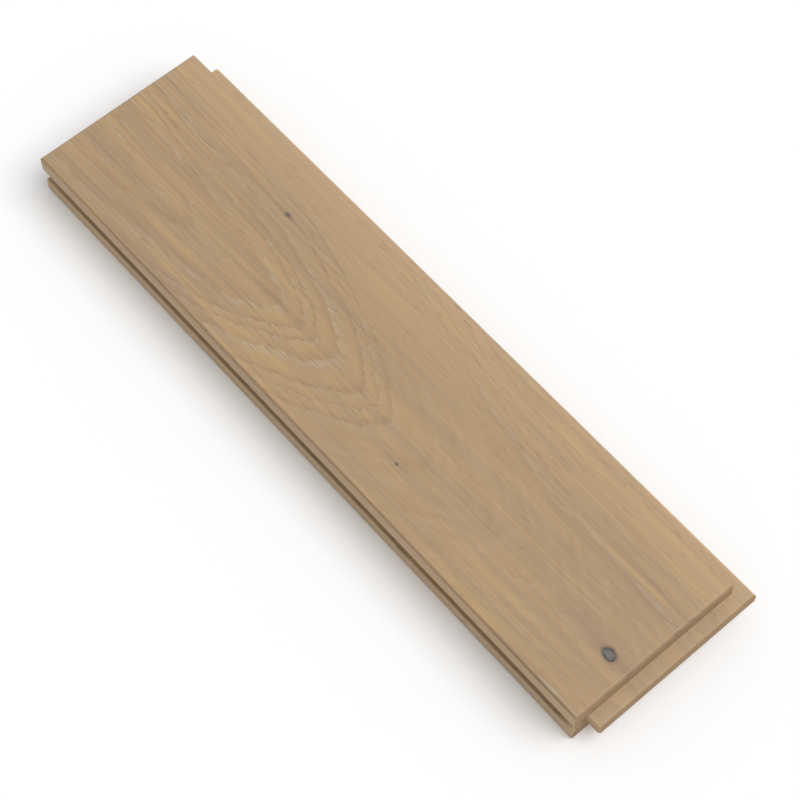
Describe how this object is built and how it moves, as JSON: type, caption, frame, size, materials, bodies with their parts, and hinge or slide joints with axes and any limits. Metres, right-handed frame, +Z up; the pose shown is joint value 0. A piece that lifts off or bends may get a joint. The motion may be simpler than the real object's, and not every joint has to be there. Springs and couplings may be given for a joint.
{
  "type": "parquet block",
  "caption": "Solid oak parquet block for a herringbone floor, with a micro-bevelled lacquered face and tongue and groove on the long edges and ends.",
  "frame": {"origin": "middle of the underside, midway between the face's joint lines", "axes": "+X along the grain towards the end tongue, +Y across the grain towards the long tongue, +Z up through the wear face"},
  "size_m": [0.2858, 0.0758, 0.02],
  "materials": {
    "oak": "matt lacquered oak on the face and bevels, raw machined oak on the edges, ends and underside"
  },
  "bodies": {
    "root": {"parquet_block": "oak"}
  },
  "joints": []
}
